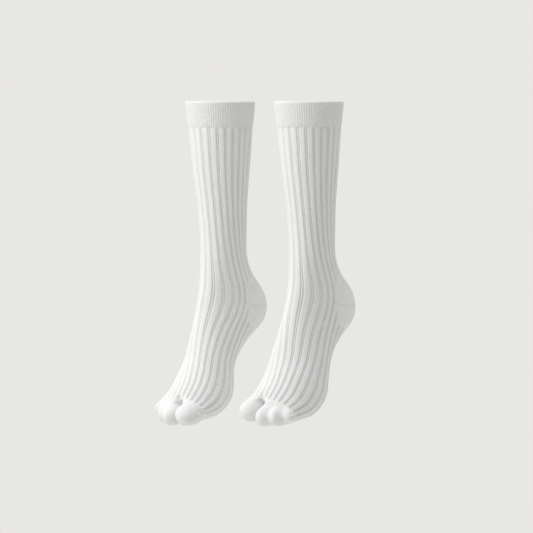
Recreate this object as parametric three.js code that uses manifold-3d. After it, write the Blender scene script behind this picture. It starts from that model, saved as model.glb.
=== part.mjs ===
// A pair of ribbed tabi socks, hollow and filled out as when worn, with the toes pointed down
// and forward. Millimetres, +Z up. The wearer faces -Y and the wearer's left is +X.
// The origin lies midway between the two cuff mouths, level with their rims.
//
// Every table below describes the left sock about its own leg axis: x is positive on the outer
// side of the foot and negative on the big toe's side. The right sock is its mirror image.
import * as THREE from 'three';
import { mergeVertices } from 'three/addons/utils/BufferGeometryUtils.js';
import Module from 'manifold-3d';

const wasm = await Module();
wasm.setup();

// Driving dimensions
const LEG_SPACING = 155;
const WALL = 2;
const SEAM_GAP = 0.3;
const COLUMNS = 26;
const TOE_COLUMNS = 12;
const TOE_STEPS = 2;
const TOE_END_STEPS = 3;
const MOUTH_CLEARANCE = 6;
const TILT_SLOPE = 0.13;
const TILT_FROM_Z = -335;
const TILT_FULL_Z = -405;
const CUTTER_HALF_WIDTH = 80;

// Sections of the tube, from the rim down to the toe roots. Each one is an ellipse held by its
// front end and its back end in the side plane, its half width, a shift to the outer side, and a
// skew in degrees that carries the outer side towards the sole.
const SECTION_COLUMNS = ['front', 'back', 'halfWidth', 'shift', 'skew'];
const SECTIONS = {
  rim: [[-44.5, 0], [44.5, 0], 45.5, 0, 0],
  cuffEnd: [[-40.5, -34], [42.5, -34], 42, 0, 0],
  calf: [[-35, -84], [39.5, -84], 37.5, 0, 0],
  shin: [[-28.5, -131], [37, -131], 32.5, 0, 0],
  aboveAnkle: [[-25.5, -177], [38.5, -177], 28.5, 0, 0],
  ankle: [[-27, -205], [41, -204], 27.5, 0, 0],
  heelTop: [[-29, -228], [54.5, -226], 28, 0, 0],
  heelUpper: [[-32, -243], [73, -242], 28.5, 0, 0],
  heelPoint: [[-35.5, -258], [83.5, -264], 29, 0, 0],
  heelLower: [[-40, -275], [76, -286], 30, 0, 2],
  heelEnd: [[-44, -291], [54, -302], 31, 0.5, 5],
  arch: [[-49.5, -312], [33, -321], 33, 1, 8],
  middle: [[-55, -333], [18, -342], 36, 1.5, 11],
  instep: [[-63.5, -351], [13, -364], 39.5, 2, 7],
  ball: [[-72, -366], [9, -385], 42.5, 1.5, 6],
  tread: [[-80, -376], [-19, -408], 42.5, 1.5, 5],
  toeRoot: [[-85, -384], [-62, -416], 41, 1, 3],
};

// Toe lobes. root and tip are the centres of the first and last full sections, followed by a
// rounded end, and width and height are half sizes there.
const TOE_COLUMN_NAMES = ['root', 'tip', 'rootWidth', 'tipWidth', 'rootHeight', 'tipHeight'];
const TOES = {
  bigToe: [[-24, -62, -396], [-21.5, -91, -406], 16, 13.5, 19, 13.5],
  secondToe: [[6, -62, -397], [4, -92, -409.5], 12, 10, 18, 12],
  thirdToe: [[20, -60, -397], [21, -84, -407], 12, 9, 17, 12],
  outerToes: [[32, -54, -397], [35, -73, -404], 10, 9.5, 14, 12],
};

// Seam lines in the side plane, as [y, z]. Each one runs out past the cloth.
const CUFF_SEAM = { front: [-120, -34], back: [120, -34] };
const GORE_POINT = [15, -259];
const INSTEP_SEAM_FRONT = [-120, -236];
const HEEL_SEAM_TOP = [135, -176];
const HEEL_SEAM_LOW = [91.5, -428];
const TOE_SEAM_TOP = [-91.5, -336];
const TOE_SEAM_LOW = [-48, -441];
const ABOVE_THE_RIM = 40;
const PAST_THE_TOES = -150;
const SPLIT_X = -7;

const ACROSS = [-CUTTER_HALF_WIDTH, CUTTER_HALF_WIDTH];
const TOE_ZONE = [TOE_SEAM_TOP, TOE_SEAM_LOW, [PAST_THE_TOES, TOE_SEAM_LOW[1]], [PAST_THE_TOES, TOE_SEAM_TOP[1]]];

// The pieces of one sock: the zone of the side plane that each one fills, how far it spans
// across the foot, and its finish
const PIECES = {
  cuff: {
    zone: [[CUFF_SEAM.front[0], ABOVE_THE_RIM], CUFF_SEAM.front, CUFF_SEAM.back, [CUFF_SEAM.back[0], ABOVE_THE_RIM]],
    across: ACROSS,
    color: 0xf1f1ef,
  },
  leg: {
    zone: [CUFF_SEAM.front, INSTEP_SEAM_FRONT, GORE_POINT, HEEL_SEAM_TOP, CUFF_SEAM.back],
    across: ACROSS,
    color: 0xf3f3f1,
  },
  heel: {
    zone: [GORE_POINT, HEEL_SEAM_LOW, HEEL_SEAM_TOP],
    across: ACROSS,
    color: 0xeeeeec,
  },
  foot: {
    zone: [INSTEP_SEAM_FRONT, TOE_SEAM_TOP, TOE_SEAM_LOW, HEEL_SEAM_LOW, GORE_POINT],
    across: ACROSS,
    color: 0xf3f3f1,
  },
  big_toe: {
    zone: TOE_ZONE,
    across: [-CUTTER_HALF_WIDTH, SPLIT_X],
    color: 0xefefed,
  },
  small_toes: {
    zone: TOE_ZONE,
    across: [SPLIT_X, CUTTER_HALF_WIDTH],
    color: 0xefefed,
  },
};
const KNIT_ROUGHNESS = 0.92;

function namedRow(columns, values) {
  return Object.fromEntries(columns.map((column, k) => [column, values[k]]));
}

// The toes lean about their own line, one side lower than the other
function tilted(point, tilt) {
  const share = THREE.MathUtils.smoothstep(TILT_FROM_Z - point.z, 0, TILT_FROM_Z - TILT_FULL_Z);
  point.z -= tilt * point.x * share;
  return point;
}

// The points of one section, from the front round by the outer side
function sectionRing(section, tilt) {
  const front = new THREE.Vector3(0, ...section.front);
  const back = new THREE.Vector3(0, ...section.back);
  const centre = front.clone().lerp(back, 0.5);
  const depth = back.clone().sub(centre);
  const halfDepth = depth.length();
  depth.normalize();
  const skew = THREE.MathUtils.degToRad(section.skew);
  return Array.from({ length: COLUMNS }, (_, k) => {
    const angle = (2 * Math.PI * k) / COLUMNS;
    const side = section.halfWidth * Math.sin(angle);
    const along = -halfDepth * Math.cos(angle);
    const point = centre.clone().addScaledVector(depth, along + side * Math.sin(skew));
    point.x = section.shift + side * Math.cos(skew);
    return tilted(point, tilt);
  });
}

// Each ring's points moved inwards along the surface's own normal by one wall
function wallInside(rings) {
  const last = rings.length - 1;
  return rings.map((ring, r) => ring.map((point, k) => {
    const down = rings[Math.min(r + 1, last)][k].clone().sub(rings[Math.max(r - 1, 0)][k]);
    const round = ring[(k + 1) % COLUMNS].clone().sub(ring.at(k - 1));
    const inward = round.cross(down).normalize();
    return point.clone().addScaledVector(inward, WALL);
  }));
}

function solidOf(geometry) {
  geometry.deleteAttribute('normal');
  geometry.deleteAttribute('uv');
  const merged = mergeVertices(geometry);
  const vertProperties = new Float32Array(merged.attributes.position.array);
  const triVerts = new Uint32Array(merged.index.array);
  return new wasm.Manifold(new wasm.Mesh({ numProp: 3, vertProperties, triVerts }));
}

// A closed solid through rings of equal point counts, with both ends filled
function loft(rings) {
  const count = rings[0].length;
  const middleOf = (ring) => ring.reduce((sum, p) => sum.add(p), new THREE.Vector3()).divideScalar(count);
  const points = [...rings.flat(), middleOf(rings[0]), middleOf(rings.at(-1))];
  const [firstMiddle, lastMiddle] = [points.length - 2, points.length - 1];
  const lastStart = (rings.length - 1) * count;
  const triangles = [];
  for (let k = 0; k < count; k += 1) {
    const next = (k + 1) % count;
    triangles.push(firstMiddle, k, next);
    triangles.push(lastMiddle, lastStart + next, lastStart + k);
    for (let start = 0; start < lastStart; start += count) {
      triangles.push(start + k, start + count + k, start + count + next);
      triangles.push(start + k, start + count + next, start + next);
    }
  }
  const geometry = new THREE.BufferGeometry().setFromPoints(points);
  geometry.setIndex(triangles);
  return solidOf(geometry);
}

// The rings of one toe, drawn in by inset all round
function toeRings(toe, inset, tilt) {
  const root = new THREE.Vector3(...toe.root);
  const axis = new THREE.Vector3(...toe.tip).sub(root);
  const length = axis.length();
  axis.normalize();
  const up = new THREE.Vector3(1, 0, 0).cross(axis).normalize();
  const side = up.clone().cross(axis).normalize();
  const ring = (distance, halfWidth, halfHeight) => Array.from({ length: TOE_COLUMNS }, (_, k) => {
    const angle = (2 * Math.PI * k) / TOE_COLUMNS;
    const point = root.clone().addScaledVector(axis, distance);
    point.addScaledVector(side, halfWidth * Math.sin(angle));
    return tilted(point.addScaledVector(up, halfHeight * Math.cos(angle)), tilt);
  });
  const rings = [];
  for (let step = 0; step < TOE_STEPS; step += 1) {
    const t = step / TOE_STEPS;
    const halfWidth = THREE.MathUtils.lerp(toe.rootWidth, toe.tipWidth, t) - inset;
    const halfHeight = THREE.MathUtils.lerp(toe.rootHeight, toe.tipHeight, t) - inset;
    rings.push(ring(length * t, halfWidth, halfHeight));
  }
  for (let step = 0; step < TOE_END_STEPS; step += 1) {
    const bend = (Math.PI / 2) * (step / TOE_END_STEPS);
    const halfHeight = toe.tipHeight - inset;
    const halfWidth = toe.tipWidth - inset;
    rings.push(ring(length + halfHeight * Math.sin(bend), halfWidth * Math.cos(bend), halfHeight * Math.cos(bend)));
  }
  return rings;
}

// The whole sock as one hollow wall, open only at its mouth
function sockShell(tilt) {
  const outside = Object.values(SECTIONS).map((values) => sectionRing(namedRow(SECTION_COLUMNS, values), tilt));
  const inside = wallInside(outside);
  const mouth = inside[0].map((point) => point.clone().setZ(MOUTH_CLEARANCE));
  const floor = inside.at(-1).map((point, k) => {
    const back = inside.at(-2)[k].clone().sub(point).normalize();
    return point.clone().addScaledVector(back, WALL);
  });
  let outer = loft(outside);
  let hollow = loft([mouth, ...inside.slice(0, -1), floor]);
  for (const values of Object.values(TOES)) {
    const toe = namedRow(TOE_COLUMN_NAMES, values);
    outer = outer.add(loft(toeRings(toe, 0, tilt)));
    hollow = hollow.add(loft(toeRings(toe, WALL, tilt)));
  }
  return outer.subtract(hollow);
}

// The outline with each of its sides moved inwards by distance
function drawnIn(outline, distance) {
  const points = outline.map(([y, z]) => new THREE.Vector2(y, z));
  const turn = THREE.ShapeUtils.isClockWise(points) ? -1 : 1;
  return points.map((point, k) => {
    const before = point.clone().sub(points.at(k - 1)).normalize();
    const after = points[(k + 1) % points.length].clone().sub(point).normalize();
    const normalBefore = new THREE.Vector2(-before.y, before.x).multiplyScalar(turn);
    const normalAfter = new THREE.Vector2(-after.y, after.x).multiplyScalar(turn);
    const mitre = normalBefore.clone().add(normalAfter);
    return point.clone().addScaledVector(mitre, distance / (1 + normalBefore.dot(normalAfter)));
  });
}

// A solid that fills a zone of the side plane, from one x to another
function zoneSolid({ zone, across }) {
  const half = SEAM_GAP / 2;
  const shape = new THREE.Shape(drawnIn(zone, half));
  const depth = across[1] - across[0] - SEAM_GAP;
  const geometry = new THREE.ExtrudeGeometry(shape, { depth, bevelEnabled: false });
  geometry.rotateX(Math.PI / 2);
  geometry.rotateZ(Math.PI / 2);
  geometry.translate(across[0] + half, 0, 0);
  return solidOf(geometry);
}

function pieceMesh(name, solid, color, mirrored) {
  const { vertProperties, triVerts } = solid.getMesh();
  const geometry = new THREE.BufferGeometry();
  geometry.setAttribute('position', new THREE.BufferAttribute(new Float32Array(vertProperties), 3));
  geometry.setIndex([...triVerts]);
  if (mirrored) {
    geometry.scale(-1, 1, 1);
    geometry.setIndex([...triVerts].reverse());
  }
  geometry.computeVertexNormals();
  const material = new THREE.MeshStandardMaterial({ color, roughness: KNIT_ROUGHNESS, metalness: 0 });
  const mesh = new THREE.Mesh(geometry, material);
  mesh.name = name;
  return mesh;
}

function makeSock(side) {
  const sock = new THREE.Group();
  const mirrored = side === 'right';
  const shell = sockShell(mirrored ? -TILT_SLOPE : TILT_SLOPE);
  for (const [piece, plan] of Object.entries(PIECES)) {
    const solid = shell.intersect(zoneSolid(plan));
    sock.add(pieceMesh(`${side}_${piece}`, solid, plan.color, mirrored));
  }
  sock.position.x = (mirrored ? -1 : 1) * (LEG_SPACING / 2);
  return sock;
}

const pair = new THREE.Group();
pair.add(makeSock('left'), makeSock('right'));

export default pair;
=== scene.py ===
"""A pair of ribbed tabi socks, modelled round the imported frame: cuffs, ribbed legs and feet, heel
pockets and toe pockets, with their knit materials, a floor, soft lights and a camera."""

import functools
import math

import bmesh
import bpy
import numpy as np
from bpy.props import FloatProperty, FloatVectorProperty, PointerProperty
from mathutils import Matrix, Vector


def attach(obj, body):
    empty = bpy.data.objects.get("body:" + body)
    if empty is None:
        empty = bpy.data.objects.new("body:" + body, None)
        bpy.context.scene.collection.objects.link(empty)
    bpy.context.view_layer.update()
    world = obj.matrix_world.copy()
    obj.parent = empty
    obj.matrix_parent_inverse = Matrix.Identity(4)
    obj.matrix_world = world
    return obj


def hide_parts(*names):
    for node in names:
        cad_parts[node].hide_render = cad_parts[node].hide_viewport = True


bl_info = {
    "name": "Pair of tabi socks",
    "version": (1, 0, 0),
    "blender": (4, 5, 0),
    "location": "View3D > Sidebar > Tabi socks",
    "description": "Ribbed socks with a split toe, and a plain stage to show them on",
    "category": "Object",
}

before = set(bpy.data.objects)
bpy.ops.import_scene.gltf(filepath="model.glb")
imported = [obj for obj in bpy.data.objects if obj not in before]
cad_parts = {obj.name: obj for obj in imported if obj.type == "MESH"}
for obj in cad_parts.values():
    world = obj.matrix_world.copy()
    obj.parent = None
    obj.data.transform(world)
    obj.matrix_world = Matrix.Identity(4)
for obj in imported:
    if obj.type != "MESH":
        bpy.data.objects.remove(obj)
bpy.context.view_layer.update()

MM = 0.001
SIDES = ("left", "right")
LEG_SPACING = 155.0

# Sections of the tube in millimetres, from the rim down to the toe roots, for the left sock about its
# own leg axis: front and back ends in the side plane, half width, shift outwards, skew in degrees.
SECTIONS = (
    (-44.5, 0, 44.5, 0, 45.5, 0, 0),
    (-40.5, -34, 42.5, -34, 42, 0, 0),
    (-35, -84, 39.5, -84, 37.5, 0, 0),
    (-28.5, -131, 37, -131, 32.5, 0, 0),
    (-25.5, -177, 38.5, -177, 28.5, 0, 0),
    (-27, -205, 41, -204, 27.5, 0, 0),
    (-29, -228, 54.5, -226, 28, 0, 0),
    (-32, -243, 73, -242, 28.5, 0, 0),
    (-35.5, -258, 83.5, -264, 29, 0, 0),
    (-40, -275, 76, -286, 30, 0, 2),
    (-44, -291, 54, -302, 31, 0.5, 5),
    (-49.5, -312, 33, -321, 33, 1, 8),
    (-55, -333, 18, -342, 36, 1.5, 11),
    (-63.5, -351, 13, -364, 39.5, 2, 7),
    (-72, -366, 9, -385, 42.5, 1.5, 6),
    (-80, -376, -19, -408, 42.5, 1.5, 5),
    (-85, -384, -62, -416, 41, 1, 3),
)
# Rows of the cage between one section and the next
ROW_STEPS = (4, 3, 3, 3, 2, 2, 2, 2, 2, 2, 2, 2, 2, 2, 2, 3)
RIBS = 24
COLUMNS_PER_RIB = 4
COLUMNS = RIBS * COLUMNS_PER_RIB
CUFF_COLUMNS = 88
BODY_LEVELS = 2
CUFF_LEVELS = 3

# How the ribs wander down the tube, in degrees, given at a few places counted in sections: the
# direction of the groove nearest the front, and how far its neighbours are spread by one, two and
# three waves round the tube
RIB_FLOW = (
    (1, -14, 4, 1, 1),
    (3, -12, 4, 3, 1),
    (5.5, 0, 12, 4, 2),
    (7.5, 4, 5, 7, 5),
    (9, 3, 1, 9, 3),
    (11, 7, 3, 2, 0),
    (12.5, 11, 1, -3, 0),
    (14, 13, -2, -9, 1),
    (16, 13, -4, -8, 1),
)
# The toes turn the ribs a little further on the right foot and less on the left
TOE_LEAN = 3.0

# Toe lobes: root, tip, half widths and half heights at both
BIG_TOE = ((-23.4, -62, -396), (-21.2, -91, -406), 17, 14, 19, 13.5)
SMALL_TOES = (
    ((5.2, -62, -397), (3.6, -92, -411), 12.8, 10.2, 18, 12),
    ((20, -60, -397), (20, -84, -409), 11, 8.3, 17, 12),
    ((32, -54, -396), (34.5, -73, -404), 10, 9.5, 12.5, 11.5),
)
TOE_ORIGIN = np.array((0, -62, -396.5))
TOE_FORWARD = np.array((0, -0.945, -0.326))
TOE_UP = np.array((0, -0.326, 0.945))
SPLIT_TOP_ANGLE = {"left": -12.0, "right": -14.0}
SPLIT_SOLE_ANGLE = 192.0
WEB_POINTS = 13
TOE_ROWS = 9
# Where the upper and the sole side of each toe pocket meet, as outward and forward distances
BIG_TOE_EDGE = (
    (-8.2, 18), (-8.4, 27), (-11, 37), (-16, 42.5), (-22, 44.2), (-28, 42),
    (-33.4, 36), (-36.5, 28), (-38.5, 18.5),
)
SMALL_TOES_EDGE = (
    (-5.8, 15), (-5.8, 26), (-3.8, 36), (0, 41.5), (4, 43.8), (9, 42), (13, 38.5), (17, 37), (21, 36.2),
    (25.5, 33), (29, 28.5), (32, 26.5), (36, 24.3), (40.5, 20.5), (43, 18.5), (43.5, 17),
)
BIG_EDGE_HEIGHT = 0.0
SMALL_EDGE_HEIGHT = -2.2
SPLIT_X = -7.0
# The hollow where the split begins: its width, and for the top and the sole the place where it starts
# and how far it moves the ring
NOTCH_WIDTH = 4.2
NOTCH_TOP_START, NOTCH_TOP_MOVE = 15.5, (0, 3, 0.3)
NOTCH_SOLE_START, NOTCH_SOLE_MOVE = 14.8, (0, 0.5, 4.5)
# How softly the small toes run into each other, and how the cage is smoothed round all the toes
SOFT_AT_ROOT, SOFT_AT_TIP = 13, 4
TOE_SMOOTHING = 0.35
SMOOTH_BELOW_Z = -360.0
TOE_LENGTH = 40.0
BIG_RIB_END = (-0.08, 0.04)
SMALL_RIB_END = (-0.04, 0.1)
# The cuff: its lower edge, where its rolled rim begins, its top, how far it stands out of the tube at
# both ends, and how thick it is at the low edge, half way up and in the rim
CUFF_LOW = -34.2
CUFF_RIM_LOW = -6.0
CUFF_TOP = 0.7
CUFF_PROUD = (0.25, 0.9)
CUFF_THICKNESS = (2.2, 2.4, 4.6)
RIM_TUCK = 0.4
RIM_OUTER_ROUND = 2.6
RIM_HEIGHT = 2.6
# The leg's knitting starts just above the cuff's lower edge, behind it
TUCK_PLACE = 0.965
CREST_ROUNDING = 0.5
FAN_DEPTH = 0.8
FAN_RIBS_PER_COLUMN = 0.45

TILT_SLOPE = 0.13
TILT_FROM_Z = -335.0
TILT_FULL_Z = -405.0

GORE_POINT = (15.0, -259.0)
HEEL_SEAM_TOP = (135.0, -176.0)
HEEL_SEAM_LOW = (91.5, -428.0)

LEG_AND_FOOT, HEEL, BIG, SMALL = range(4)
# Height of one wide rib across its sixteen fine columns: a broad flat face, a purl groove, one narrow
# wale and a second purl groove
RIB_PROFILE = (1, 1, 1, 1, 0.98, 0.85, 0, 0.5, 0.8, 0.5, 0, 0.85, 0.98, 1, 1, 1)
COURSE_LENGTH = 1.15
# The gore line of the heel, in metres: how fast it levels out, how far it drops, its width and the
# spacing of its eyelets, with the share of each space that is plain
GORE_CURVE = 0.012
GORE_DROP = 0.007
GORE_WIDTH = 0.0011
EYELET_PITCH = 0.004
EYELET_GAP = 0.4
STITCH_HEIGHT = 0.0003

# The stage: the camera's direction round from the front, the width of its picture, what it looks at
# across and up, how far down the floor is, and the strength of the even light
CAMERA_AZIMUTH = 42
PICTURE_WIDTH = 0.6929
TARGET_ACROSS, TARGET_UP = 0.0028, -0.2145
FLOOR_UP = -0.62
EVEN_LIGHT = 0.45


def blend_in(value, start, end):
    """0 before start, 1 past end, and a smooth step between them."""
    t = np.clip((np.asarray(value, float) - start) / (end - start), 0, 1)
    return t * t * (3 - 2 * t)


def through(points, t):
    """A smooth curve through the rows of points, at a place t counted in rows."""
    k = min(int(t), len(points) - 2)
    u = t - k
    before = points[k - 1] if k else 2 * points[0] - points[1]
    after = points[k + 2] if k + 2 < len(points) else 2 * points[-1] - points[-2]
    a, b = points[k], points[k + 1]
    bend = 2 * before - 5 * a + 4 * b - after
    twist = 3 * a - before - 3 * b + after
    return 0.5 * (2 * a + (b - before) * u + bend * u * u + twist * u**3)


def evenly(points, count):
    """Count points at even steps along a smooth curve through the given ones."""
    rows = np.array(points, float)
    fine = np.array([through(rows, t) for t in np.linspace(0, len(rows) - 1, 40 * len(rows))])
    along = np.concatenate(([0], np.cumsum(np.linalg.norm(np.diff(fine, axis=0), axis=1))))
    at = np.linspace(0, along[-1], count)
    return np.stack([np.interp(at, along, fine[:, k]) for k in range(fine.shape[1])], axis=1)


def rib_angles(place, side):
    """The direction of every column at one place, in degrees from the front round by the outer side."""
    knots = [row[0] for row in RIB_FLOW]
    at = np.interp(place, knots, np.arange(len(knots)))
    _, first, *waves = through(np.array(RIB_FLOW, float), at)
    lean = TOE_LEAN * float(blend_in(place, 11, 13.2)) * (1 if side == "right" else -1)
    middle = COLUMNS_PER_RIB / 2
    column = np.arange(COLUMNS + 1.0) if side == "left" else 2 * middle - np.arange(COLUMNS + 1.0)
    even = 360 / COLUMNS * (column - middle)
    spread = sum(wave * np.sin(np.radians((k + 1) * even)) for k, wave in enumerate(waves))
    angle = first + lean + even + spread
    return angle if side == "left" else -angle


def section_ring(row, angles):
    """The points of one section at the given angles, from the front round by the outer side."""
    front, back = np.array((0, row[0], row[1])), np.array((0, row[2], row[3]))
    half_width, shift, skew = row[4], row[5], math.radians(row[6])
    centre, depth = (front + back) / 2, (back - front) / 2
    half_depth = np.linalg.norm(depth)
    angle = np.radians(angles)
    side = half_width * np.sin(angle)
    along = -half_depth * np.cos(angle) + side * math.sin(skew)
    ring = centre + along[:, None] * depth / half_depth
    ring[:, 0] = shift + side * math.cos(skew)
    return ring


def tube_places(first, last):
    """The places of the cage's rows from one section to another."""
    return [k + step / ROW_STEPS[k] for k in range(first, last) for step in range(ROW_STEPS[k])] + [last]


def lobe_distance(points, lobe):
    """Roughly how far points are outside one toe lobe."""
    root, tip = np.array(lobe[0], float), np.array(lobe[1], float)
    axis = tip - root
    length = np.linalg.norm(axis)
    axis /= length
    up = np.cross((1, 0, 0), axis)
    up /= np.linalg.norm(up)
    side = np.cross(up, axis)
    q = points - root
    along = q @ axis
    share = np.clip(along / length, 0, 1)
    wide = lobe[2] + (lobe[3] - lobe[2]) * share
    high = lobe[4] + (lobe[5] - lobe[4]) * share
    past = np.maximum(along - length, 0)
    reach = np.sqrt((q @ side / wide) ** 2 + (q @ up / high) ** 2 + (past / lobe[5]) ** 2)
    return (reach - 1) * np.sqrt(wide * high)


def toes_distance(points, lobes, softness):
    """How far points are outside all the lobes together, with the valleys between them softened."""
    total = lobe_distance(points, lobes[0])
    for lobe in lobes[1:]:
        other = lobe_distance(points, lobe)
        near = np.maximum(softness - np.abs(total - other), 0) / softness
        total = np.minimum(total, other) - near * near * softness / 4
    return total


def onto_toes(points, lobes, softness):
    """The points moved to the surface of the lobes."""
    points = points.copy()
    for _ in range(6):
        value = toes_distance(points, lobes, softness)
        slope = np.stack([
            (toes_distance(points + step, lobes, softness) - value) / 0.05
            for step in 0.05 * np.eye(3)
        ], axis=1)
        points -= (value / np.maximum((slope**2).sum(1), 0.05))[:, None] * slope
    return points


def to_toe_frame(points):
    """Outward, forward and upward distances along the toes."""
    q = points - TOE_ORIGIN
    return np.stack([q[:, 0], q @ TOE_FORWARD, q @ TOE_UP], axis=1)


def from_toe_frame(places):
    points = TOE_ORIGIN + places[:, 1:2] * TOE_FORWARD + places[:, 2:3] * TOE_UP
    points[:, 0] = places[:, 0]
    return points


def put(verts, points):
    for vert, point in zip(verts, points):
        vert.co = point


def grow(bm, ring, points, zone, layers, columns, rows, turns):
    """Extrudes a ring of edges to new places. The new faces get their zone and their knit coordinates."""
    count = len(ring)
    spans = range(count)
    edges = [bm.edges.get((ring[k], ring[(k + 1) % count])) for k in spans]
    made = bmesh.ops.extrude_edge_only(bm, edges=edges)["geom"]
    fresh = {v for v in made if isinstance(v, bmesh.types.BMVert)}
    new = [next(e.other_vert(v) for e in v.link_edges if e.other_vert(v) in fresh) for v in ring]
    put(new, points)
    for k in spans:
        n = (k + 1) % count
        face = next(f for f in bm.edges.get((new[k], new[n])).link_faces)
        face.material_index = zone
        face.smooth = True
        knit = {ring[k]: (k, 0), new[k]: (k, 1), ring[n]: (k + 1, 0), new[n]: (k + 1, 1)}
        for loop in face.loops:
            column, row = knit[loop.vert]
            loop[layers[0]].uv = (columns[column], rows[row][0])
            loop[layers[1]].uv = (rows[row][1], turns[row][column])
    return new


def notch(ring, place, angles, split_angle):
    """Pulls the upper and the sole side of a ring in where the split begins."""
    top = np.cos(np.radians(angles)) > 0
    top_x = np.interp(split_angle, (-90, 0, 90), (-42, 0, 42)) * math.cos(math.radians(split_angle / 3))
    ring = ring.copy()
    for half, x, depth, move in (
        (top, top_x, blend_in(place, NOTCH_TOP_START, 16), NOTCH_TOP_MOVE),
        (~top, SPLIT_X, blend_in(place, NOTCH_SOLE_START, 16), NOTCH_SOLE_MOVE),
    ):
        across = np.exp(-(((ring[:, 0] - x) / NOTCH_WIDTH) ** 2))
        ring[half] += (across * depth)[half, None] * np.array(move)
    return ring


def toe_pocket(bm, loop, columns, turns, lobes, edge, edge_height, zone, layers, course):
    """Grows one closed toe pocket from a loop that starts at the top of the split."""
    count = len(loop)
    half = count // 2
    web_middle = count - (WEB_POINTS + 1) // 2
    upper = [(web_middle + 1 + m) % count for m in range(half)]
    sole = [(web_middle - m) % count for m in range(half)]
    ends = evenly(edge, half)
    target = np.zeros((count, 3))
    for m in range(half):
        for i in (upper[m], sole[m]):
            target[i] = (*ends[m], edge_height)
    root = to_toe_frame(np.array([v.co for v in loop]))
    ring, before = loop, (course, 0.0)
    for row in range(1, TOE_ROWS + 1):
        t = row / (TOE_ROWS + 0.6)
        forward, height = math.sin(math.pi / 2 * t), math.cos(math.pi / 2 * t)
        guess = np.empty_like(root)
        guess[:, 0] = root[:, 0] + (target[:, 0] - root[:, 0]) * blend_in(t, -0.1, 0.75)
        guess[:, 1] = root[:, 1] + (target[:, 1] - root[:, 1]) * forward
        guess[:, 2] = edge_height + (root[:, 2] - edge_height) * height
        softness = SOFT_AT_ROOT - (SOFT_AT_ROOT - SOFT_AT_TIP) * float(blend_in(t, 0.1, 0.6))
        points = from_toe_frame(guess)
        points += (onto_toes(points, lobes, softness) - points) * min(1, row / 2)
        after = (course + TOE_LENGTH * t, t)
        ring = grow(bm, ring, points, zone, layers, columns, (before, after), (turns, turns))
        before = after
    for m in range(half - 1):
        corners = [ring[upper[m]], ring[upper[m + 1]], ring[sole[m + 1]], ring[sole[m]]]
        face = bm.faces.new(corners)
        face.material_index = zone
        face.smooth = True
        for vert, loop_corner in zip(corners, face.loops):
            k = ring.index(vert)
            loop_corner[layers[0]].uv = (columns[k], before[0] + (0 if k in upper else 1.5))
            loop_corner[layers[1]].uv = (1, 0)


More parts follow.
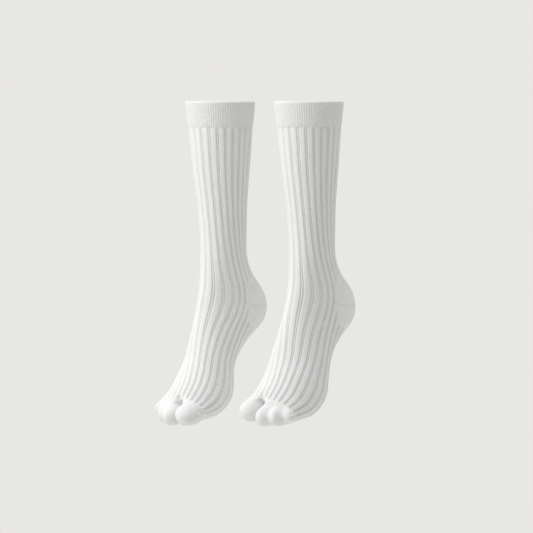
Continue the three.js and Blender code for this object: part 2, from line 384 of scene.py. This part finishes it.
@functools.cache
def knit_form(side):
    """The sock's whole outer surface below the cuff as one fine mesh, before its relief. Its first UV
    map counts columns round and courses along. Its second one holds the share of the way along the
    toes, and the direction round the tube in turns."""
    bm = bmesh.new()
    layers = (bm.loops.layers.uv.new("knit"), bm.loops.layers.uv.new("toe"))
    table = np.array(SECTIONS, float)
    places = [TUCK_PLACE] + tube_places(1, len(SECTIONS) - 1)
    angles = [rib_angles(place, side) for place in places]
    rings = [
        notch(section_ring(through(table, place), a[:-1]), place, a[:-1], SPLIT_TOP_ANGLE[side])
        for place, a in zip(places, angles)
    ]
    steps = [np.linalg.norm(b - a, axis=1).mean() for a, b in zip(rings, rings[1:])]
    courses = np.concatenate(([0], np.cumsum(steps)))
    ring = bmesh.ops.create_circle(bm, segments=COLUMNS, radius=1)["verts"]
    put(ring, rings[0])
    round_columns = list(range(COLUMNS + 1))
    for k in range(1, len(rings)):
        rows = [(courses[n], (courses[n] - courses[-1]) / TOE_LENGTH) for n in (k - 1, k)]
        turns = (angles[k - 1] / 360, angles[k] / 360)
        ring = grow(bm, ring, rings[k], LEG_AND_FOOT, layers, round_columns, rows, turns)

    def nearest(angle, choice):
        off = np.abs((angles[-1][:-1] - angle + 180) % 360 - 180)
        return int(min(choice, key=lambda c: off[c % COLUMNS]))

    top_column = nearest(SPLIT_TOP_ANGLE[side], range(COLUMNS // 2, COLUMNS * 3 // 2))
    sole_column = nearest(SPLIT_SOLE_ANGLE, range(top_column - COLUMNS * 3 // 4, top_column, 2))
    bm.verts.index_update()
    places_in_ring = [v.index for v in ring]
    bridge = bm.edges.new((ring[top_column % COLUMNS], ring[sole_column % COLUMNS]))
    bmesh.ops.bisect_edges(bm, edges=[bridge], cuts=WEB_POINTS)
    bm.verts.ensure_lookup_table()
    ring = [bm.verts[k] for k in places_in_ring]
    top, sole = ring[top_column % COLUMNS], ring[sole_column % COLUMNS]
    web, last = [], top
    step = next(e.other_vert(top) for e in top.link_edges if not e.link_faces)
    while step is not sole:
        web.append(step)
        last, step = step, next(e.other_vert(step) for e in step.link_edges if e.other_vert(step) is not last)
    for columns, lobes, edge, edge_height, zone in (
        (range(top_column, sole_column - 1, -1), (BIG_TOE,), BIG_TOE_EDGE, BIG_EDGE_HEIGHT, BIG),
        (range(top_column, sole_column + COLUMNS + 1), SMALL_TOES, SMALL_TOES_EDGE, SMALL_EDGE_HEIGHT, SMALL),
    ):
        loop = [ring[c % COLUMNS] for c in columns] + web[::-1]
        step = 1 if zone == SMALL else -1
        round_loop = [top_column + step * k for k in range(len(loop) + 1)]
        turns = [angles[-1][c % COLUMNS] / 360 for c in round_loop]
        toe_pocket(bm, loop, round_loop, turns, lobes, edge, edge_height, zone, layers, courses[-1])
    soften = [v for v in bm.verts if v.co.z < SMOOTH_BELOW_Z and not v.is_boundary]
    for _ in range(2):
        bmesh.ops.smooth_vert(
            bm, verts=soften, factor=TOE_SMOOTHING, use_axis_x=True, use_axis_y=True, use_axis_z=True
        )
    bmesh.ops.recalc_face_normals(bm, faces=bm.faces)
    mouth = [f for f in bm.faces if f.calc_center_median().z > -60]
    if sum(Vector((f.calc_center_median().x, f.calc_center_median().y, 0)).dot(f.normal) for f in mouth) < 0:
        bmesh.ops.reverse_faces(bm, faces=bm.faces)
    cage = bpy.data.meshes.new("knit_form_cage")
    bm.to_mesh(cage)
    bm.free()
    form = subdivided(cage, BODY_LEVELS)
    cut_heel(form)
    return form


def subdivided(cage, levels):
    """A subdivision surface of the cage as a mesh of its own."""
    thing = bpy.data.objects.new("cage", cage)
    bpy.context.scene.collection.objects.link(thing)
    surface = thing.modifiers.new("surface", "SUBSURF")
    surface.levels = surface.render_levels = levels
    surface.uv_smooth = "NONE"
    fine = bpy.data.meshes.new_from_object(thing.evaluated_get(bpy.context.evaluated_depsgraph_get()))
    bpy.data.objects.remove(thing)
    bpy.data.meshes.remove(cage)
    return fine


def seam_side(y, z, end):
    """How far a point of the side plane is behind the seam from the gore point to end."""
    across = np.array((end[1] - GORE_POINT[1], GORE_POINT[0] - end[0]), float)
    across /= np.linalg.norm(across)
    if across[0] < 0:
        across = -across
    return (y - GORE_POINT[0]) * across[0] + (z - GORE_POINT[1]) * across[1]


def seam_height(y, z):
    """How far a point of the side plane is above the heel's upper seam."""
    run, rise = HEEL_SEAM_TOP[0] - GORE_POINT[0], HEEL_SEAM_TOP[1] - GORE_POINT[1]
    return ((z - GORE_POINT[1]) * run - (y - GORE_POINT[0]) * rise) / math.hypot(run, rise)


def in_heel(y, z):
    """How far inside the heel pocket a point of the side plane is."""
    top = seam_side(y, z, HEEL_SEAM_TOP)
    if seam_side(0, 0, HEEL_SEAM_TOP) > 0:
        top = -top
    low = seam_side(y, z, HEEL_SEAM_LOW)
    return np.minimum(top, low)


def cut_heel(form):
    """Cuts the form along both heel seams and marks the faces between them as the heel."""
    bm = bmesh.new()
    bm.from_mesh(form)
    for end in (HEEL_SEAM_TOP, HEEL_SEAM_LOW):
        near = [f for f in bm.faces if f.material_index == LEG_AND_FOOT
                and GORE_POINT[0] - 1 < f.calc_center_median().y and -345 < f.calc_center_median().z < -195]
        geometry = near + list({e for f in near for e in f.edges}) + list({v for f in near for v in f.verts})
        normal = (0, end[1] - GORE_POINT[1], GORE_POINT[0] - end[0])
        bmesh.ops.bisect_plane(bm, geom=geometry, dist=0.02, plane_co=(0, *GORE_POINT), plane_no=normal)
    for face in bm.faces:
        centre = face.calc_center_median()
        if face.material_index == LEG_AND_FOOT and centre.z > -345 and in_heel(centre.y, centre.z) > 0:
            face.material_index = HEEL
    bm.to_mesh(form)
    bm.free()


def per_vertex(mesh, layer):
    """The values of a UV map at each vertex."""
    corner = np.zeros(len(mesh.loops) * 2, np.float32)
    mesh.uv_layers[layer].data.foreach_get("uv", corner)
    vertex = np.zeros(len(mesh.loops), np.int32)
    mesh.loops.foreach_get("vertex_index", vertex)
    values = np.zeros((len(mesh.vertices), 2))
    values[vertex] = corner.reshape(-1, 2)
    return values


def places_of(mesh):
    co = np.zeros(len(mesh.vertices) * 3, np.float32)
    mesh.vertices.foreach_get("co", co)
    return co.reshape(-1, 3).astype(float)


def normals_of(mesh):
    normals = np.zeros(len(mesh.vertices) * 3, np.float32)
    mesh.vertex_normals.foreach_get("vector", normals)
    return normals.reshape(-1, 3).astype(float)


def set_places(mesh, points):
    mesh.vertices.foreach_set("co", np.asarray(points, np.float32).ravel())
    mesh.update()


def plain_share(points, turn):
    """How plain the knitting is at each point: 1 on the heel and the sole, 0 where the ribs are whole."""
    y, z = points[:, 1], points[:, 2]
    above = seam_height(y, z)
    low_edge = -288 - 0.4 * (y - 22)
    heel = blend_in(y, 20, 25) * blend_in(z, low_edge - 2, low_edge + 2) * (1 - blend_in(above, 12, 23))
    sole = blend_in(turn, 126, 131) * blend_in(-z, 285, 295)
    return np.maximum(heel, sole)


def fan_height(points, column):
    """Fine ribs that fan out just above the heel, from 0 to 1."""
    y, z = points[:, 1], points[:, 2]
    above = seam_height(y, z)
    window = blend_in(above, -3.5, 0) * (1 - blend_in(above, 6.5, 10)) * blend_in(y, 24, 30)
    return window * (0.5 - 0.5 * np.cos(2 * np.pi * column * FAN_RIBS_PER_COLUMN))


def rib_relief(form, depth):
    """How far each vertex of the form sinks for its ribs, in millimetres."""
    points = places_of(form)
    column = per_vertex(form, "knit")[:, 0]
    toe, turn = per_vertex(form, "toe").T
    turn = np.abs((turn * 360 + 180) % 360 - 180)
    fine = (column / COLUMNS_PER_RIB * len(RIB_PROFILE)) % len(RIB_PROFILE)
    height = np.interp(fine, np.arange(len(RIB_PROFILE) + 1), RIB_PROFILE + RIB_PROFILE[:1])
    share = 1 - plain_share(points, turn)
    big = points[:, 0] < SPLIT_X
    share *= 1 - np.where(big, blend_in(toe, *BIG_RIB_END), blend_in(toe, *SMALL_RIB_END))
    crest = blend_in(points[:, 2], -37.5, -34.5)
    grooves = depth * (1 - height) * share
    return grooves + CREST_ROUNDING * crest * share + FAN_DEPTH * fan_height(points, column)


def tilted(points, side):
    """The toes lean about their own line, one side lower than the other."""
    slope = TILT_SLOPE if side == "left" else -TILT_SLOPE
    points = points.copy()
    points[:, 2] -= slope * points[:, 0] * blend_in(-points[:, 2], -TILT_FROM_Z, -TILT_FULL_Z)
    return points


def standing(points, side):
    """From the left sock's own millimetres to where that side's sock stands, in metres."""
    points = tilted(points, side)
    if side == "right":
        points[:, 0] = -points[:, 0]
    points[:, 0] += LEG_SPACING / 2 * (1 if side == "left" else -1)
    return points * MM


@functools.cache
def sock_surface(side):
    """One sock's places and normals before its relief, the relief in metres, and its normals after it."""
    sizes = bpy.context.scene.tabi_sizes
    form = knit_form(side).copy()
    relief = rib_relief(form, sizes.rib_depth / MM) * MM
    set_places(form, standing(places_of(form), side))
    if side == "right":
        form.flip_normals()
    points, normals = places_of(form), normals_of(form)
    set_places(form, points - relief[:, None] * normals)
    final = normals_of(form)
    bpy.data.meshes.remove(form)
    return points, normals, relief, final


def knit_piece(side, name, zone, material):
    """One piece of a sock: the faces of its zone as a thin wall, with the relief on its outer side and
    painted shade in its grooves.
    """
    points, normals, relief, final = sock_surface(side)
    bm = bmesh.new()
    bm.from_mesh(knit_form(side))
    source = bm.verts.layers.int.new("source")
    bm.verts.index_update()
    for vert in bm.verts:
        vert[source] = vert.index
    bmesh.ops.delete(bm, geom=[f for f in bm.faces if f.material_index != zone], context="FACES")
    for face in bm.faces:
        face.material_index = 0
    mesh = bpy.data.meshes.new(f"{side}_{name}_knit")
    bm.to_mesh(mesh)
    bm.free()
    kept = np.zeros(len(mesh.vertices), np.int32)
    mesh.attributes["source"].data.foreach_get("value", kept)
    mesh.attributes.remove(mesh.attributes["source"])
    set_places(mesh, points[kept])
    if side == "right":
        mesh.flip_normals()
    outer = len(kept)
    piece = bpy.data.objects.new(f"{side}_{name}_knit", mesh)
    bpy.context.scene.collection.objects.link(piece)
    wall = piece.modifiers.new("wall", "SOLIDIFY")
    wall.thickness = bpy.context.scene.tabi_sizes.wall
    wall.offset = -1
    solid = bpy.data.meshes.new_from_object(piece.evaluated_get(bpy.context.evaluated_depsgraph_get()))
    piece.modifiers.clear()
    piece.data = solid
    solid.name = f"{side}_{name}_knit"
    bpy.data.meshes.remove(mesh)
    moved = places_of(solid)
    moved[:outer] -= relief[kept, None] * normals[kept]
    set_places(solid, moved)
    shading = np.concatenate((final[kept], -normals[kept]))
    solid.normals_split_custom_set_from_vertices([tuple(n) for n in shading])
    # Painted shade: the groove attribute darkens the colour the deeper the relief sinks, in the rib grooves,
    # in the fan just above the heel and along the leg's top just under the cuff.
    groove = np.zeros(len(moved), np.float32)
    groove[:outer] = np.clip(relief[kept] / bpy.context.scene.tabi_sizes.rib_depth, 0, 1)
    solid.attributes.new("groove", "FLOAT", "POINT").data.foreach_set("value", groove)
    solid.materials.clear()
    solid.materials.append(material)
    return piece


def declare(piece, nodes):
    """Hangs a piece from the root body and hides the parts of the frame that it stands for."""
    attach(piece, "root")
    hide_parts(*nodes)


def knit_material(name, wales=2.0, bump=0.5, gore=False):
    """Off-white cotton knit: V-shaped stitches that follow the knitting's own coordinates, with a
    little loose fibre over them. wales is the stitches to one column of the form. The heel's has the
    row of eyelets of its gore line. Its colour has painted shade between the stitch loops, in the
    grooves that the groove attribute gives, and in the gore line's eyelets."""
    material = bpy.data.materials.get(name)
    if material:
        return material
    colours = bpy.context.scene.tabi_colours
    material = bpy.data.materials.new(name)
    material.use_nodes = True
    nodes, links = material.node_tree.nodes, material.node_tree.links
    shader = nodes["Principled BSDF"]

    def feed(socket, value):
        if isinstance(value, bpy.types.NodeSocket):
            links.new(value, socket)
        else:
            socket.default_value = value

    def sum_of(operation, a, b=0.0, c=0.0):
        node = nodes.new("ShaderNodeMath")
        node.operation = operation
        for socket, value in zip(node.inputs, (a, b, c)):
            feed(socket, value)
        return node.outputs[0]

    knit = nodes.new("ShaderNodeUVMap")
    knit.uv_map = "knit"
    parts = nodes.new("ShaderNodeSeparateXYZ")
    links.new(knit.outputs[0], parts.inputs[0])
    wale = sum_of("MULTIPLY", parts.outputs[0], wales)
    course = sum_of("DIVIDE", parts.outputs[1], COURSE_LENGTH)
    off_middle = sum_of("MULTIPLY", sum_of("ABSOLUTE", sum_of("SUBTRACT", sum_of("FRACT", wale), 0.5)), 2.0)
    leg = sum_of("FRACT", sum_of("SUBTRACT", course, sum_of("MULTIPLY", off_middle, 0.55)))
    loop_height = sum_of("SINE", sum_of("MULTIPLY", leg, math.pi))
    off_wale = sum_of("ABSOLUTE", sum_of("MULTIPLY_ADD", off_middle, 2.0, -1.0))
    across = sum_of("SUBTRACT", 1.0, sum_of("POWER", off_wale, 3.0))
    stitch = sum_of("MULTIPLY", loop_height, across)

    place = nodes.new("ShaderNodeTexCoord")

    def noise_of(scale, detail, roughness=0.55):
        node = nodes.new("ShaderNodeTexNoise")
        node.inputs["Scale"].default_value = scale
        node.inputs["Detail"].default_value = detail
        node.inputs["Roughness"].default_value = roughness
        links.new(place.outputs["Object"], node.inputs["Vector"])
        return node.outputs["Fac"]

    fibre = noise_of(1500, 3, 0.7)
    uneven = noise_of(420, 4, 0.65)
    height = sum_of("MULTIPLY_ADD", fibre, 0.55, sum_of("MULTIPLY_ADD", uneven, 0.8, stitch))
    groove = nodes.new("ShaderNodeAttribute")
    groove.attribute_name = "groove"
    # The tone: random grain from the two noises, with painted shade between the stitch loops, where the
    # stitch is low.
    grain = sum_of("MULTIPLY_ADD", uneven, 1.5, sum_of("MULTIPLY", fibre, 0.3))
    light = sum_of("MULTIPLY_ADD", stitch, 0.22, grain)
    # Painted shade: the groove attribute darkens the tone in the grooves.
    tone_and_painted_shade = sum_of("MULTIPLY_ADD", groove.outputs["Fac"], -0.34, light)
    if gore:
        axes = nodes.new("ShaderNodeSeparateXYZ")
        links.new(place.outputs["Object"], axes.inputs[0])
        behind = sum_of("MULTIPLY_ADD", axes.outputs["Y"], -1 / GORE_CURVE, GORE_POINT[0] * MM / GORE_CURVE)
        curve = sum_of("EXPONENT", behind)
        line = sum_of("MULTIPLY_ADD", curve, GORE_DROP, GORE_POINT[1] * MM - GORE_DROP)
        off = sum_of("ABSOLUTE", sum_of("SUBTRACT", axes.outputs["Z"], line))
        near = sum_of("MAXIMUM", sum_of("MULTIPLY_ADD", off, -1 / GORE_WIDTH, 1.0), 0.0)
        step = sum_of("FRACT", sum_of("DIVIDE", axes.outputs["Y"], EYELET_PITCH))
        eyelet = sum_of("GREATER_THAN", step, EYELET_GAP)
        mark = sum_of("MULTIPLY", near, sum_of("MULTIPLY_ADD", eyelet, 0.9, 0.1))
        # Painted shade along the gore line, strongest in its eyelet holes, which also sink in the bump.
        tone_and_painted_shade = sum_of("MULTIPLY_ADD", mark, -0.8, tone_and_painted_shade)
        height = sum_of("MULTIPLY_ADD", mark, -2.0, height)
    relief = nodes.new("ShaderNodeBump")
    relief.inputs["Strength"].default_value = bump
    relief.inputs["Distance"].default_value = STITCH_HEIGHT
    links.new(height, relief.inputs["Height"])
    links.new(relief.outputs[0], shader.inputs["Normal"])

    # The ramp turns the tone, with its painted shade, into colour, from 78% of the yarn up to the yarn
    # itself.
    shades = nodes.new("ShaderNodeValToRGB")
    shades.color_ramp.elements[0].position = 0.2
    shades.color_ramp.elements[0].color = (*(c * 0.78 for c in colours.yarn), 1)
    shades.color_ramp.elements[1].position = 1.0
    shades.color_ramp.elements[1].color = (*colours.yarn, 1)
    links.new(tone_and_painted_shade, shades.inputs[0])
    links.new(shades.outputs[0], shader.inputs["Base Color"])
    shader.inputs["Roughness"].default_value = 0.92
    shader.inputs["Specular IOR Level"].default_value = 0.25
    shader.inputs["Sheen Weight"].default_value = 0.12
    shader.inputs["Sheen Roughness"].default_value = 0.6
    return material


class TabiSizes(bpy.types.PropertyGroup):
    """Sizes of the knit."""

    rib_depth: FloatProperty(
        name="Rib depth", description="How far the rib grooves sink", default=0.0014, unit="LENGTH"
    )
    wall: FloatProperty(
        name="Wall", description="Thickness of the knit under its relief", default=0.0014, unit="LENGTH"
    )
    cuff_rib_depth: FloatProperty(
        name="Cuff rib depth", description="Relief of the cuff's fine ribs", default=0.0004, unit="LENGTH"
    )


class TabiColours(bpy.types.PropertyGroup):
    """Colours of the yarn and of the stage."""

    yarn: FloatVectorProperty(
        name="Yarn", description="Off-white cotton", default=(0.84, 0.84, 0.835), subtype="COLOR", size=3
    )
    backdrop: FloatVectorProperty(
        name="Backdrop", description="Pale grey behind the socks", default=(0.807, 0.799, 0.776),
        subtype="COLOR", size=3,
    )


class TABI_OT_stage(bpy.types.Operator):
    """Makes the floor, the lights, the backdrop and the camera."""

    bl_idname = "tabi.stage"
    bl_label = "Stage"

    def execute(self, context):
        scene = context.scene
        scene.view_settings.view_transform = "Standard"
        colours = scene.tabi_colours
        bm = bmesh.new()
        bmesh.ops.create_circle(bm, cap_ends=True, segments=64, radius=6)
        bmesh.ops.translate(bm, verts=bm.verts, vec=(0, 0, FLOOR_UP))
        mesh = bpy.data.meshes.new("floor")
        bm.to_mesh(mesh)
        bm.free()
        floor = bpy.data.objects.new("floor", mesh)
        scene.collection.objects.link(floor)
        paint = bpy.data.materials.new("floor")
        paint.use_nodes = True
        paint.node_tree.nodes["Principled BSDF"].inputs["Base Color"].default_value = (*colours.backdrop, 1)
        paint.node_tree.nodes["Principled BSDF"].inputs["Roughness"].default_value = 0.8
        mesh.materials.append(paint)
        azimuth = math.radians(CAMERA_AZIMUTH)
        right = Vector((math.cos(azimuth), math.sin(azimuth), 0))
        back = Vector((math.sin(azimuth), -math.cos(azimuth), 0))
        target = right * TARGET_ACROSS + Vector((0, 0, TARGET_UP))
        world = bpy.data.worlds.new("studio")
        scene.world = world
        world.use_nodes = True
        nodes, links = world.node_tree.nodes, world.node_tree.links
        seen = nodes["Background"]
        seen.inputs["Color"].default_value = (*colours.backdrop, 1)
        soft = nodes.new("ShaderNodeBackground")
        soft.inputs["Color"].default_value = (1, 1, 1, 1)
        soft.inputs["Strength"].default_value = EVEN_LIGHT
        path = nodes.new("ShaderNodeLightPath")
        mix = nodes.new("ShaderNodeMixShader")
        links.new(path.outputs["Is Camera Ray"], mix.inputs[0])
        links.new(soft.outputs[0], mix.inputs[1])
        links.new(seen.outputs[0], mix.inputs[2])
        links.new(mix.outputs[0], nodes["World Output"].inputs[0])

        def lamp(name, direction, distance, size, power):
            data = bpy.data.lights.new(name, "AREA")
            data.size = size
            data.energy = power
            thing = bpy.data.objects.new(name, data)
            thing.location = target + direction.normalized() * distance
            thing.rotation_euler = (-direction).to_track_quat("-Z", "Y").to_euler()
            thing.visible_camera = False
            scene.collection.objects.link(thing)

        lamp("key", right * -0.96 + back * 0.26 + Vector((0, 0, 0.8)), 4.0, 2.8, 116)
        lamp("top", back * 0.12 + Vector((0, 0, 1)), 4.0, 2.0, 50)
        lamp("rim", right * 0.9 - back * 0.45 + Vector((0, 0, 0.1)), 2.0, 1.0, 5)
        data = bpy.data.cameras.new("camera")
        data.type = "ORTHO"
        data.ortho_scale = PICTURE_WIDTH
        data.clip_end = 20
        camera = bpy.data.objects.new("camera", data)
        camera.location = target + back * 3
        camera.rotation_euler = (-back).to_track_quat("-Z", "Y").to_euler()
        scene.collection.objects.link(camera)
        scene.camera = camera
        return {"FINISHED"}


@functools.cache
def cuff_form():
    """The cuff's whole surface: up its outer side, over the rim and down its inner side."""
    bm = bmesh.new()
    layers = (bm.loops.layers.uv.new("knit"), bm.loops.layers.uv.new("toe"))
    table = np.array(SECTIONS, float)
    angles = 360 / CUFF_COLUMNS * np.arange(CUFF_COLUMNS)

    def drawn_out(height, out, lift=0.0):
        """The tube's section at a height, moved outwards and up."""
        ring = section_ring(through(table, -height / -SECTIONS[1][1]), angles)
        away = ring - ring.mean(0)
        away[:, 2] = 0
        ring += away / np.linalg.norm(away, axis=1)[:, None] * out
        ring[:, 2] += lift
        return ring

    heights = np.linspace(CUFF_LOW, CUFF_RIM_LOW, 4)
    proud = np.interp(heights, (CUFF_LOW, 0), CUFF_PROUD)
    thick = np.interp(heights, (CUFF_LOW, CUFF_LOW / 2, 0), CUFF_THICKNESS)
    outer = [drawn_out(h, p) for h, p in zip(heights, proud)]
    inner = [drawn_out(h, p - t) for h, p, t in zip(heights, proud, thick)]
    rim = []
    for turn in np.radians((0, 22, 45, 67, 90, 125, 160, 180)):
        wide = RIM_OUTER_ROUND if math.cos(turn) > 0 else CUFF_THICKNESS[-1] - RIM_OUTER_ROUND
        out = CUFF_PROUD[1] - RIM_TUCK - RIM_OUTER_ROUND + wide * math.cos(turn)
        rim.append(drawn_out(0, out, CUFF_TOP - RIM_HEIGHT * (1 - math.sin(turn))))
    rings = outer + rim + inner[::-1]
    steps = [np.linalg.norm(b - a, axis=1).mean() for a, b in zip(rings, rings[1:])]
    courses = np.concatenate(([0], np.cumsum(steps)))
    ring = bmesh.ops.create_circle(bm, segments=CUFF_COLUMNS, radius=1)["verts"]
    put(ring, rings[0])
    columns = list(range(CUFF_COLUMNS + 1))
    turns = np.zeros((2, CUFF_COLUMNS + 1))
    for k in range(1, len(rings)):
        ring = grow(bm, ring, rings[k], 0, layers, columns, ((courses[k - 1], 0), (courses[k], 0)), turns)
    rims = [e for e in bm.edges if e.is_boundary]
    for face in bmesh.ops.bridge_loops(bm, edges=rims)["faces"]:
        face.smooth = True
    bmesh.ops.recalc_face_normals(bm, faces=bm.faces)
    cage = bpy.data.meshes.new("cuff_cage")
    bm.to_mesh(cage)
    bm.free()
    return subdivided(cage, CUFF_LEVELS)


class TABI_OT_cuffs(bpy.types.Operator):
    """Knits both cuffs."""

    bl_idname = "tabi.cuffs"
    bl_label = "Cuffs"

    def execute(self, context):
        for side in SIDES:
            mesh = cuff_form().copy()
            column = per_vertex(mesh, "knit")[:, 0]
            points = places_of(mesh)
            normals = normals_of(mesh)
            depth = context.scene.tabi_sizes.cuff_rib_depth / MM
            wave = 0.5 - 0.5 * np.cos(2 * np.pi * column)
            fade = blend_in(points[:, 2], -34.0, -32.5)
            set_places(mesh, standing(points - (depth * wave * fade)[:, None] * normals, side))
            # Painted shade: the groove attribute darkens the colour in the fine rib grooves, and a little
            # over the whole cuff.
            shade = (0.3 + 0.7 * wave).astype(np.float32)
            mesh.attributes.new("groove", "FLOAT", "POINT").data.foreach_set("value", shade)
            if side == "right":
                mesh.flip_normals()
            mesh.name = f"{side}_cuff_knit"
            mesh.materials.clear()
            mesh.materials.append(knit_material("cuff_yarn"))
            piece = bpy.data.objects.new(f"{side}_cuff_knit", mesh)
            context.scene.collection.objects.link(piece)
            declare(piece, [f"{side}_cuff"])
        return {"FINISHED"}


class TABI_OT_legs(bpy.types.Operator):
    """Knits the ribbed leg and foot of both socks."""

    bl_idname = "tabi.legs"
    bl_label = "Legs and feet"

    def execute(self, context):
        for side in SIDES:
            piece = knit_piece(side, "leg_and_foot", LEG_AND_FOOT, knit_material("rib_yarn"))
            declare(piece, [f"{side}_leg", f"{side}_foot"])
        return {"FINISHED"}


class TABI_OT_heels(bpy.types.Operator):
    """Knits the heel pockets of both socks."""

    bl_idname = "tabi.heels"
    bl_label = "Heels"

    def execute(self, context):
        for side in SIDES:
            piece = knit_piece(side, "heel", HEEL, knit_material("heel_yarn", gore=True))
            declare(piece, [f"{side}_heel"])
        return {"FINISHED"}


class TABI_OT_toes(bpy.types.Operator):
    """Knits the toe pockets of both socks."""

    bl_idname = "tabi.toes"
    bl_label = "Toes"

    def execute(self, context):
        for side in SIDES:
            piece = knit_piece(side, "big_toe", BIG, knit_material("plain_yarn"))
            declare(piece, [f"{side}_big_toe"])
            piece = knit_piece(side, "small_toes", SMALL, knit_material("plain_yarn"))
            declare(piece, [f"{side}_small_toes"])
        return {"FINISHED"}


class TABI_PT_panel(bpy.types.Panel):
    """Shows the sizes and the colours, and a button for each step."""

    bl_label = "Tabi socks"
    bl_idname = "TABI_PT_panel"
    bl_space_type = "VIEW_3D"
    bl_region_type = "UI"
    bl_category = "Tabi socks"

    def draw(self, context):
        for group in (context.scene.tabi_sizes, context.scene.tabi_colours):
            for name in group.__annotations__:
                self.layout.prop(group, name)
        for operator in OPERATORS:
            self.layout.operator(operator.bl_idname)


OPERATORS = (TABI_OT_stage, TABI_OT_cuffs, TABI_OT_legs, TABI_OT_heels, TABI_OT_toes)
CLASSES = (TabiSizes, TabiColours, *OPERATORS, TABI_PT_panel)


def register():
    for cls in CLASSES:
        bpy.utils.register_class(cls)
    bpy.types.Scene.tabi_sizes = PointerProperty(type=TabiSizes)
    bpy.types.Scene.tabi_colours = PointerProperty(type=TabiColours)


def unregister():
    del bpy.types.Scene.tabi_colours
    del bpy.types.Scene.tabi_sizes
    for cls in reversed(CLASSES):
        bpy.utils.unregister_class(cls)


def main():
    register()
    for operator in OPERATORS:
        group, name = operator.bl_idname.split(".")
        getattr(getattr(bpy.ops, group), name)()


if __name__ == "__main__":
    main()
